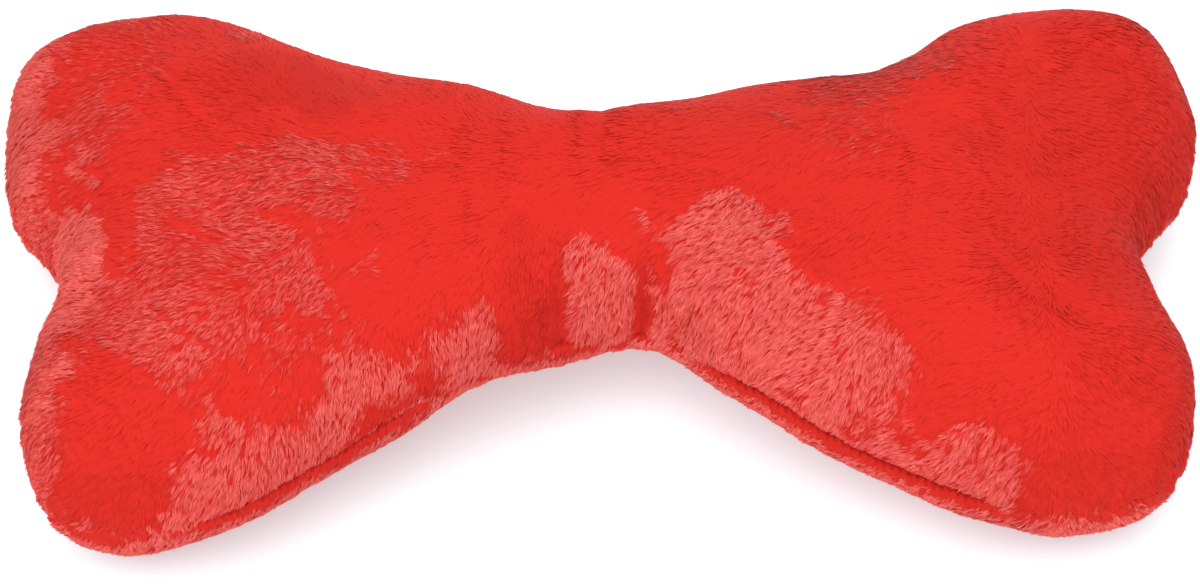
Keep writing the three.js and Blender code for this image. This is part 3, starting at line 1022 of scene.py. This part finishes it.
@dataclass
class Pile:
    """The pile: small locks of blades on the backing, in one piece for each part of the bone."""

    finish: PilePlush = PilePlush()
    nap: Nap = Nap()
    tones: Tones = Tones()
    seed: int = 11
    waist: Pair = (-50.0, 34.0)  # the pile between these is one piece
    # The locks
    locks_per_square_mm: float = 2.3
    laid_share: float = 0.42  # of those locks are there where the pile lies flat, with wider strands
    strands_per_lock: int = 4
    lock_stretch: float = 1.6  # a lock is this much longer than wide
    bottom_share: float = 0.6  # the underside has fewer, wider strands
    # Each of these pairs is for laid pile and for pile that is brushed up
    length: Pair = (3.6, 2.6)  # what shows of a strand
    width: Pair = (0.85, 0.28)
    lock_half: Pair = (0.85, 0.33)  # how far a lock's roots lie from its middle
    drawn_in: Pair = (0.1, 0.5)  # how far its tips come together, as a share of that
    lift_deg: Pair = (0.9, 13.0)
    uneven_deg: Pair = (0.3, 3.5)  # how much that lift differs
    bend_deg: Pair = (3.8, 7.0)
    rolled: Pair = (0.06, 0.35)  # how far a blade is turned about its length
    facing_differs: Pair = (0.015, 0.16)
    sink: Pair = (0.1, 0.3)  # how deep in the backing a strand is rooted
    # What differs from strand to strand
    size_range: Pair = (0.85, 1.15)
    width_range: Pair = (0.8, 1.2)
    uneven_in_lock: float = 0.7  # how much the lift differs in one lock, as a share of uneven_deg
    sway: float = 0.1  # how far a strand's middle strays to the side
    stir: float = 0.06  # how far the nap is stirred
    stir_fine: float = 0.1  # and how much more where the strands are fine
    # Where locks stand up: random fields hold how strong, how large and which they are
    ragged: tuple[Triple, ...] = ((0.35, 14.0, 21), (0.25, 5.0, 22))
    uneven: Triple = (0.08, 30.0, 23)
    crease_lay: float = 0.45  # how far each millimetre of crease lays the pile down, which also paints shade on it
    scatter: float = 0.6  # how much locks differ in when they stand up
    rise_over: float = 0.8  # how much more brushing takes one from lying to standing
    standing_range: Pair = (0.55, 1.0)
    bottom_lift: float = 0.5  # the underside's pile lifts this much as far
    # Where strands are finer: brushed up, near the rim and on the flanks
    fine_over: float = 0.3
    edge_reach: float = 5.0
    edge_fine: float = 0.6
    flank: Pair = (0.75, -0.3)  # how much the cover faces up where its flank starts, and the change
    tuft_deg: float = 5.0  # the outline shows the pile in small tufts
    tuft_size: float = 2.2
    # Beside the seam
    seam_trim: float = 0.7  # the share of a strand that is sewn in or worn off there
    seam_trim_reach: float = 3.2
    parting_half_width: float = 1.0  # the seam shows this far on either side
    parting_edge: Pair = (0.6, 0.2)
    parting_ragged: Triple = (0.4, 4.0, 41)
    floor: float = 0.02  # no strand goes lower than this

    def brushing(self, points: Array, normals: Array, side: Side) -> Array:
        """Say how far the pile is brushed up at each place, which also sets its painted sheen, and below 0
        its painted shade.

        Args:
            points: Places on the cover in millimetres.
            normals: The way that the cover faces there.
            side: Which panel they are on.

        Returns:
            From -1, brushed down and deep in painted shade, to 1, brushed up and pale with painted sheen.
        """
        ragged = sum(field_of(points, *row) for row in self.ragged)
        up, brushed = field_of(points, *self.uneven), np.zeros(len(points))
        for patch in BRUSHED_OR_SHADED if side is Side.TOP else ():
            amount = patch.amount(points, ragged)
            up += np.minimum(amount, 0)
            brushed = np.maximum(brushed, amount)
        for turned in TURNED_SHEEN:
            up += turned.amount(normals, ragged)
        return np.clip(up + brushed, -1, 1)

    def root(self, surface: Surface, dice: Dice) -> Strands:
        """Root the locks of one panel, and give their strands what they share.

        Args:
            surface: The panel's backing.
            dice: Where the random numbers come from.

        Returns:
            One row for each strand.
        """
        grid = surface.points
        after = np.roll(grid, -1, axis=0)
        a, b, c, d = grid[:, :-1], grid[:, 1:], after[:, :-1], after[:, 1:]
        area = np.linalg.norm(np.cross(d - a, c - b), axis=-1) / 2
        top = surface.side is Side.TOP
        count = int(area.sum() * self.locks_per_square_mm * (1 if top else self.bottom_share))
        chosen = dice.choice(area.size, count, p=(area / area.sum()).ravel())
        rib, row = np.unravel_index(chosen, area.shape)
        s, t = dice.random((2, count, 1))

        def read(values: Array) -> Array:
            """Blend a grid's values at the locks.

            Args:
                values: The grid.

            Returns:
                One row for each lock.
            """
            rows = values if values.ndim == 3 else values[..., None]
            nxt = (rib + 1) % len(rows)
            near = rows[rib, row] * (1 - t) + rows[rib, row + 1] * t
            return near * (1 - s) + (rows[nxt, row] * (1 - t) + rows[nxt, row + 1] * t) * s

        place, normal = read(grid), unit(read(surface.normals))
        grids = (surface.over_rim, surface.depth, surface.open_seam)
        over_rim, depth, open_seam = (read(values)[:, 0] for values in grids)
        trimmed_and_shaded = np.exp(-((over_rim / self.seam_trim_reach) ** 2)) * open_seam
        brushed = self.brushing(place, normal, surface.side) - self.crease_lay * depth
        up, down = np.maximum(brushed, 0), np.maximum(-brushed, 0)
        # Whole locks stand up or stay down, so a patch thins out towards its edge lock by lock
        over = (1 + self.scatter) * up - self.scatter * dice.random(count)
        standing = smooth_step(over / self.rise_over) * dice.uniform(*self.standing_range, count)
        # Finer strands where they stand up, and where the cover is seen edge on
        edge_on = self.edge_fine * np.exp(-((over_rim / self.edge_reach) ** 2))
        edge_on = edge_on + past(np.abs(normal[:, 2]), *self.flank)
        fine = np.clip(smooth_step(up / self.fine_over) + edge_on, 0, 1)
        opening = np.exp(-((over_rim / self.parting_half_width) ** 2)) * open_seam
        parted = past(opening + field_of(place, *self.parting_ragged), *self.parting_edge)
        kept = dice.random(count) < (fine + self.laid_share * (1 - fine)) * (1 - parted)
        stir = (self.stir + self.stir_fine * fine)[:, None]
        lean = laid_on(self.nap.ways(place, normal) + stir * dice.normal(size=(count, 3)), normal)
        lift = np.interp(standing, (0, 1), self.lift_deg)
        lift += np.interp(standing, (0, 1), self.uneven_deg) * dice.normal(size=count)
        tufts = 0.5 + waves(place, self.tuft_size, seed=42)
        lift += self.tuft_deg * np.clip(edge_on, 0, 1) ** 2 * tufts
        lift *= 1 if top else self.bottom_lift
        length = np.interp(fine, (0, 1), self.length) * dice.uniform(*self.size_range, count)
        length *= 1 - self.seam_trim * trimmed_and_shaded
        tones = self.tones
        # Painted sheen on locks that stand up, and painted shade where the pile is brushed down
        tone = tones.laid + tones.raised * standing - tones.down_shade * down
        # Painted shade on strands over the seam's groove and in creases
        tone -= tones.trimmed_and_shaded * trimmed_and_shaded**2 + tones.crease_shade * depth
        differs = tones.lock_differs @ np.stack([np.ones(count), up, down])
        tone += differs * (dice.random(count) - 0.5)
        rows = (place, normal, lean, lift, length, fine, standing, up, tone)
        return Strands(*(np.repeat(values[kept], self.strands_per_lock, axis=0) for values in rows))

    def blades(self, strands: Strands, share: float, dice: Dice) -> dict[str, Array]:
        """Shape the blade of each strand.

        Args:
            strands: The strands.
            share: How thinly this panel is set with locks; its blades are wider to match.
            dice: Where the random numbers come from.

        Returns:
            Arrays with one row for each strand: its three places from root to tip, the way that
            it is wide, the way that it faces, its width, its tone and how far it stands up.
        """
        normal, lean = strands.normal, strands.lean
        total = len(normal)

        def between(pair: Pair, reading: Array = strands.standing) -> Array:
            """Read a pair of values between laid and brushed up, as a column."""
            return np.interp(reading, (0, 1), pair)[:, None]

        across = np.cross(normal, lean)
        aside, ahead = between(self.lock_half, strands.fine) * dice.uniform(-1, 1, (2, total, 1))
        root = strands.place + across * aside + lean * ahead * self.lock_stretch
        uneven = between(self.uneven_deg) * self.uneven_in_lock * dice.normal(size=(total, 1))
        lift = np.radians(strands.lift_deg[:, None] + uneven)
        bend = np.radians(between(self.bend_deg))
        half = (strands.length * dice.uniform(*self.size_range, total) / 2)[:, None]
        first = lean * np.cos(lift + bend) + normal * np.sin(lift + bend)
        second = lean * np.cos(lift - bend) + normal * np.sin(lift - bend)
        middle = root + first * half + across * self.sway * dice.normal(size=(total, 1))
        tip = middle + second * half - across * aside * between(self.drawn_in)
        wide = unit(across + between(self.rolled) * (dice.random((total, 1)) - 0.5) * normal)
        facing = normal * np.cos(lift) - lean * np.sin(lift)
        facing = unit(facing + between(self.facing_differs) * dice.normal(size=(total, 3)))
        width = between(self.width, strands.fine)[:, 0] * dice.uniform(*self.width_range, total)
        width /= math.sqrt(share)
        path = np.stack([root - between(self.sink) * normal, middle, tip], axis=1)
        path[..., 2] = np.maximum(path[..., 2], self.floor)
        anywhere, raised = self.tones.strand_differs
        tone = strands.tone + (anywhere + raised * strands.up) * (dice.random(total) - 0.5)
        shape = {"path": path, "wide": wide, "facing": facing, "width": width}
        return {**shape, "tone": tone, "standing": strands.standing}

    def region_of(self, places: Array) -> Array:
        """Name the part of the bone that each root is on.

        Args:
            places: The roots.

        Returns:
            A name for each root.
        """
        ends = np.where(places[:, 0] < 0, "left", "right")
        rows = np.where(places[:, 1] < 0, "front", "back")
        named = np.char.add(np.char.add(ends, "_"), rows)
        middle = (places[:, 0] > self.waist[0]) & (places[:, 0] < self.waist[1])
        return np.where(middle, "waist", named)

    def piece(self, name: str, blades: dict[str, Array], material: Material) -> Piece:
        """Make one piece of pile, each strand a pointed blade with a spot of the bake map.

        Args:
            name: The piece's name.
            blades: The strands, as blades() gives them.
            material: The pile's material.

        Returns:
            The piece.
        """
        path, wide, width = blades["path"], blades["wide"], blades["width"][:, None]
        count = len(path)
        # The stations along a blade and how far to the side of them, for each of its points
        stations, sides = [0, 0, 1, 1, 2], np.array([-0.5, 0.5, -0.42, 0.42, 0.0])
        points = path[:, stations] + (wide * width)[:, None] * sides[:, None]
        first = len(stations) * np.arange(count)[:, None]
        faces = [first + np.array([[0, 2, 3, 1]]), first + np.array([[2, 4, 3]])]
        side = math.ceil(math.sqrt(count))
        cell = np.column_stack([np.arange(count) % side, np.arange(count) // side])[:, None]
        # Where those points lie in the blade's cell of the bake map
        spot = np.array([[0.1, 0.08], [0.9, 0.08], [0.14, 0.5], [0.86, 0.5], [0.5, 0.92]])
        places = ((cell + spot) / side).reshape(-1, 2)
        # Painted shade at each blade's root and a painted highlight at its tip
        along = np.array(self.tones.along)[stations]
        shows = self.tones.along_laid + blades["standing"][:, None]
        tone = (blades["tone"][:, None] + along * shows).ravel()
        facing = np.repeat(blades["facing"], len(stations), axis=0)
        return make_piece(name, points.reshape(-1, 3), faces, material, places, {"tone": tone}, facing)

    def pieces(self, surface: Surface) -> list[Piece]:
        """Make all the pile of one panel.

        Args:
            surface: The panel's backing.

        Returns:
            One piece for the waist and one for each limb.
        """
        dice = np.random.default_rng(self.seed + surface.side.value)
        share = 1 if surface.side is Side.TOP else self.bottom_share
        blades = self.blades(self.root(surface, dice), share, dice)
        regions = self.region_of(blades["path"][:, 0])
        material = self.finish.material()
        made = []
        for region in sorted(set(regions)):
            kept = {key: rows[regions == region] for key, rows in blades.items()}
            made.append(self.piece(f"pile_{surface.side.name.lower()}_{region}", kept, material))
        return made


@dataclass
class Threads:
    """The machine-sewn seam and the ladder stitch that closes the stuffing gap."""

    form: BoneForm
    finish: Patterned = THREAD
    inset: float = 2.6
    gap_shares: Pair = (0.455, 0.515)  # where on the way round the gap starts and ends
    seam_radius: float = 0.33
    closing_radius: float = 0.24
    stitch: float = 3.0
    dip: float = 0.1
    ladder_pitch: float = 6.0
    swing: float = 0.5
    twist_pitch: float = 1.6
    waist_share: float = 0.16  # how far the thread narrows between its two plies
    step: float = 0.4
    sides: int = 8

    def lines(self) -> tuple[Array, Array]:
        """Follow the stitches round the rim.

        Returns:
            The line from the gap's end to its start, and the line over the gap.
        """
        ribs = self.form.ribs()
        flat = ribs.root + ribs.direction * (ribs.length - self.inset)[:, None]
        line = np.column_stack([flat, ribs.rim])
        first, last = (round(share * len(line)) for share in self.gap_shares)
        return np.concatenate([line[last + 1 :], line[:first]]), line[first + 1 : last]

    def spaced(self, points: Array) -> tuple[Array, Array]:
        """Space points evenly along a line.

        Args:
            points: The line's points.

        Returns:
            The new points, and how far along each lies.
        """
        far = np.concatenate([[0], np.cumsum(np.linalg.norm(np.diff(points, axis=0), axis=1))])
        along = np.linspace(0, far[-1], round(far[-1] / self.step) + 1)
        return np.column_stack([np.interp(along, far, points[:, k]) for k in range(3)]), along

    def ply(self, name: str, points: Array, along: Array, radius: float) -> Piece:
        """Make a two-ply thread along a line.

        Args:
            name: The piece's name.
            points: The thread's middle.
            along: How far along each of them lies.
            radius: The thread's radius.

        Returns:
            The thread.
        """
        forward = unit(np.gradient(points, axis=0))
        across = unit(np.cross(forward, [0, 0, 1]))
        over = np.cross(across, forward)
        angle = TURN * np.arange(self.sides) / self.sides
        twist = np.cos(2 * (angle[None] - TURN * along[:, None] / self.twist_pitch))
        swell = 1 - self.waist_share * (1 - twist)
        rings = points[:, None] + radius * swell[..., None] * (
            across[:, None] * np.cos(angle)[None, :, None] + over[:, None] * np.sin(angle)[None, :, None]
        )
        count = len(points)
        quads = strip_faces(count, self.sides, False, True)[: (count - 1) * self.sides]
        ends = np.stack([np.arange(self.sides), (count - 1) * self.sides + np.arange(self.sides)[::-1]])
        return make_piece(name, rings.reshape(-1, 3), [quads, ends], self.finish.material())

    def seam(self) -> Piece:
        """Make the seam's lockstitch, which dips at each stitch.

        Returns:
            The thread.
        """
        points, along = self.spaced(self.lines()[0])
        points[:, 2] += self.dip * np.cos(TURN * along / self.stitch)
        return self.ply("seam_stitches", points, along, self.seam_radius)

    def closing(self) -> Piece:
        """Make the ladder stitch, which crosses the gap from fold to fold.

        Returns:
            The thread.
        """
        points, along = self.spaced(self.lines()[1])
        across = unit(np.cross(np.gradient(points, axis=0), [0, 0, 1]))
        points += across * self.swing * np.sin(TURN * along / self.ladder_pitch)[:, None]
        return self.ply("closing_stitches", points, along, self.closing_radius)


@dataclass
class FibreFill:
    """The loose fibre, pushed in as six wads."""

    finish: Patterned = FIBRE
    voxel: float = 2.4
    hollow: float = 0.9
    hollow_size: float = 11.0
    crease_spread: float = 1.5  # the fibre gives way over more than the crease
    crease_facing: float = -0.3  # and not where it faces down more than this
    wads: str = "left_back left_front right_back right_front waist_upper waist_lower"

    def wad(self, name: str, node: Piece, material: Material) -> Piece:
        """Make one wad in the space of its plain solid, with soft hollows in its sides.

        Args:
            name: The wad's place.
            node: The plain solid.
            material: The fibre's material.

        Returns:
            The wad.
        """
        piece = put(f"wad_{name}", node.data.copy())
        remesh = piece.modifiers.new("voxels", "REMESH")
        remesh.mode, remesh.voxel_size = "VOXEL", self.voxel * MM
        made = bpy.data.meshes.new_from_object(piece.evaluated_get(bpy.context.evaluated_depsgraph_get()))
        piece.modifiers.clear()
        piece.data = made
        made.materials.clear()
        made.materials.append(material)
        points, normals = np.empty((2, 3 * len(made.vertices)))
        made.vertices.foreach_get("co", points)
        made.vertices.foreach_get("normal", normals)
        points, normals = points.reshape(-1, 3) / MM, normals.reshape(-1, 3)
        sink = self.hollow * (0.5 + 0.5 * np.clip(waves(points, self.hollow_size, seed=51), -1, 1))
        sink += crease_depth(points, self.crease_spread) * (normals[:, 2] > self.crease_facing)
        moved = points - normals * sink[:, None]
        made.vertices.foreach_set("co", (moved * MM).ravel())
        made.update()
        return piece


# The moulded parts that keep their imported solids
MOULDED = {
    "bulb_base": SOFT_VINYL,
    "bulb_top": SOFT_VINYL,
    "whistle_barrel": POLYSTYRENE,
    "reed_seat": POLYSTYRENE,
    "reed_wedge": POLYSTYRENE,
    "reed": FILM,
}


@dataclass
class Squeaker:
    """The bulb squeaker: its moulded parts keep their solids, and the folds and pouch are finer."""

    cloth: Patterned = NONWOVEN
    sides: int = 72
    folds: int = 2
    fold_depth: float = 2.6
    fold_steps: int = 12
    wall: float = 1.1
    travel: float = 6.5
    cloth_thickness: float = 0.8
    weld_width: float = 3.4
    weld_thickness: float = 0.5
    corner: float = 2.2
    corner_steps: int = 6
    flat_steps: int = 4
    clearance: float = 0.3

    def turned(self, name: str, profile: Array, centre: Array, material: Material) -> Piece:
        """Turn a closed profile round an upright axis.

        Args:
            name: The piece's name.
            profile: Radius and height pairs, anticlockwise, closing on themselves.
            centre: The axis's place, with the height that the profile counts from.
            material: What it is dressed in.

        Returns:
            The turned piece.
        """
        angle = (TURN * np.arange(self.sides) / self.sides)[:, None]
        radius, height = profile.T
        turned = [radius * np.cos(angle), radius * np.sin(angle), height + 0 * angle]
        points = (np.stack(turned, axis=-1) + centre).reshape(-1, 3)
        piece = make_piece(name, points, [strip_faces(self.sides, len(profile), False, True)], material)
        weld(piece)
        return piece

    def bellows(self) -> Piece:
        """Make the folded wall between the bulb's base and its cap.

        Returns:
            The wall.
        """
        low, high = (np.array(corner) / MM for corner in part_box("bulb_bellows"))
        radius = (high - low)[0] / 2
        centre = np.array([*((low + high) / 2)[:2], low[2]])
        steps = np.arange(self.folds * self.fold_steps + 1)
        wave = radius - self.fold_depth * (1 - np.cos(TURN * steps / self.fold_steps)) / 2
        height = (high - low)[2] * steps / steps[-1]
        outer = np.column_stack([wave, height])
        inner = np.column_stack([wave - self.wall, height])[::-1]
        return self.turned("bulb_folds", np.concatenate([outer, inner]), centre, SOFT_VINYL.material())

    def dish(self, radius: float, top: float) -> Array:
        """Follow half of the pouch from its middle, round its corner and down to its seam.

        Args:
            radius: How wide its side is.
            top: How high its middle is.

        Returns:
            Radius and height pairs.
        """
        middle = radius - self.corner
        steps = self.flat_steps
        flat = np.column_stack([np.linspace(0, middle, steps + 1)[:-1], np.full(steps, top)])
        quarter = np.linspace(0, math.pi / 2, self.corner_steps + 1)
        out, drop = self.corner * np.sin(quarter), self.corner * (1 - np.cos(quarter))
        return np.concatenate([flat, np.column_stack([middle + out, top - drop])])

    def pouch(self, side: Side) -> Piece:
        """Make one dished half of the pouch, with its welded edge.

        Args:
            side: Which half.

        Returns:
            The half.
        """
        node = "pouch_upper" if side is Side.TOP else "pouch_lower"
        low, high = (np.array(corner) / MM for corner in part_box(node))
        edge, thick = self.clearance / 2, self.cloth_thickness
        reach, depth = (high - low)[0] / 2, (high - low)[2] + edge
        seam_level = low[2] - edge if side is Side.TOP else high[2] + edge
        centre = np.array([*((low + high) / 2)[:2], seam_level])
        inner_radius = reach - self.weld_width - thick
        outer = self.dish(inner_radius + thick, depth)[::-1]
        inner = self.dish(inner_radius, depth - thick)
        brim = np.array(
            [
                (inner_radius, edge),
                (reach, edge),
                (reach, edge + self.weld_thickness),
                (inner_radius + thick, edge + self.weld_thickness + thick),
            ]
        )
        profile = np.concatenate([inner, brim, outer])
        profile[:, 1] *= side.value
        if side is Side.BOTTOM:
            profile = profile[::-1]
        piece = self.turned(f"pouch_cloth_{side.name.lower()}", profile, centre, self.cloth.material())
        # Each half is cut as a round blank, and gathered over the bulb before it is welded
        return piece

    def dress(self, nodes: dict[str, Piece]) -> None:
        """Give the moulded parts their plastics.

        Args:
            nodes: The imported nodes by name.
        """
        made = {finish: finish.material() for finish in dict.fromkeys(MOULDED.values())}
        for name, finish in MOULDED.items():
            slots = nodes[name].data.materials
            slots.clear()
            slots.append(made[finish])


@dataclass
class Studio:
    """A lit table under soft boxes, and the camera of the photograph."""

    photo_width_px: int = 1200
    focal_px: float = 4922.0
    sensor_mm: float = 36.0
    distance: float = 1.12
    elevation_deg: float = 47.0
    azimuth_deg: float = -0.24
    target: Triple = (-0.00035, -0.0103, 0.03)
    floor_size: float = 14.0
    sky: float = 0.85
    boxes: tuple[tuple[Triple, float, float], ...] = (  # place, size and watts
        ((-0.35, -1.1, 1.9), 1.8, 30.0),
        ((0.6, 0.9, 1.3), 1.0, 4.0),
    )

    def camera(self) -> None:
        """Stand the camera where the photograph was taken from."""
        data = bpy.data.cameras.new("photo_camera")
        data.sensor_width = self.sensor_mm
        data.lens = self.focal_px / self.photo_width_px * self.sensor_mm
        data.clip_end = 100
        camera = put("photo_camera", data)
        rise, round_ = math.radians(self.elevation_deg), math.radians(self.azimuth_deg)
        back = Vector((math.sin(round_) * math.cos(rise), -math.cos(round_) * math.cos(rise), math.sin(rise)))
        camera.location = Vector(self.target) + back * self.distance
        camera.rotation_euler = back.to_track_quat("Z", "Y").to_euler()
        bpy.context.scene.camera = camera

    def lights(self) -> None:
        """Hang the soft boxes, and light the room evenly."""
        for k, (place, size, watts) in enumerate(self.boxes):
            lamp = bpy.data.lights.new(f"soft_box_{k}", "AREA")
            lamp.shape, lamp.size, lamp.energy = "DISK", size, watts
            holder = put(f"soft_box_{k}", lamp)
            holder.location = place
            holder.rotation_euler = Vector(place).to_track_quat("Z", "Y").to_euler()
        world = bpy.data.worlds.new("white_room")
        world.use_nodes = True
        background = world.node_tree.nodes["Background"].inputs
        background["Color"].default_value = linear("#FFFFFF")
        background["Strength"].default_value = self.sky
        bpy.context.scene.world = world

    def floor(self) -> None:
        """Lay the table's top."""
        half = self.floor_size / 2 / MM
        corners = np.array([(-half, -half, 0), (half, -half, 0), (half, half, 0), (-half, half, 0)])
        make_piece("table", corners, [np.array([[0, 1, 2, 3]])], OPAL_SHEET.material())

    def colours(self) -> None:
        """Show colours as the shop photograph does, with no film curve."""
        view = bpy.context.scene.view_settings
        view.view_transform, view.look = "Standard", "None"


def join_body(piece: Piece, node: str | None) -> None:
    """Put a soft piece on the toy's body, and report it.

    Args:
        piece: The piece.
        node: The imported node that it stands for, if there is one.
    """
    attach(piece, "toy")
    if node:
        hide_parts(node)
    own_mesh(piece)
    log.info("%s: %d points", piece.name, len(piece.data.vertices))


def main() -> None:
    """Build and dress the toy on its frame."""
    logging.basicConfig(level=logging.INFO, format="%(message)s")
    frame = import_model()
    form = BoneForm()
    squeaker = Squeaker()

    cover, pile = Cover(form), Pile()
    for side, node in ((Side.TOP, "top_panel"), (Side.BOTTOM, "bottom_panel")):
        surface = cover.surface(side)
        panel = cover.panel(surface)
        join_body(panel, node)
        for piece in pile.pieces(surface):
            join_body(piece, None)

    threads = Threads(form)
    join_body(threads.seam(), "seam_thread")
    join_body(threads.closing(), "closing_thread")

    fibre = FibreFill()
    wool = fibre.finish.material()
    for name in fibre.wads.split():
        node = f"fill_{name}"
        wad = fibre.wad(name, frame["nodes"][node], wool)
        join_body(wad, node)

    for side, node in ((Side.TOP, "pouch_upper"), (Side.BOTTOM, "pouch_lower")):
        join_body(squeaker.pouch(side), node)
    join_body(squeaker.bellows(), "bulb_bellows")
    squeaker.dress(frame["nodes"])

    studio = Studio()
    studio.camera()
    studio.lights()
    studio.floor()
    studio.colours()


if __name__ == "__main__":
    main()
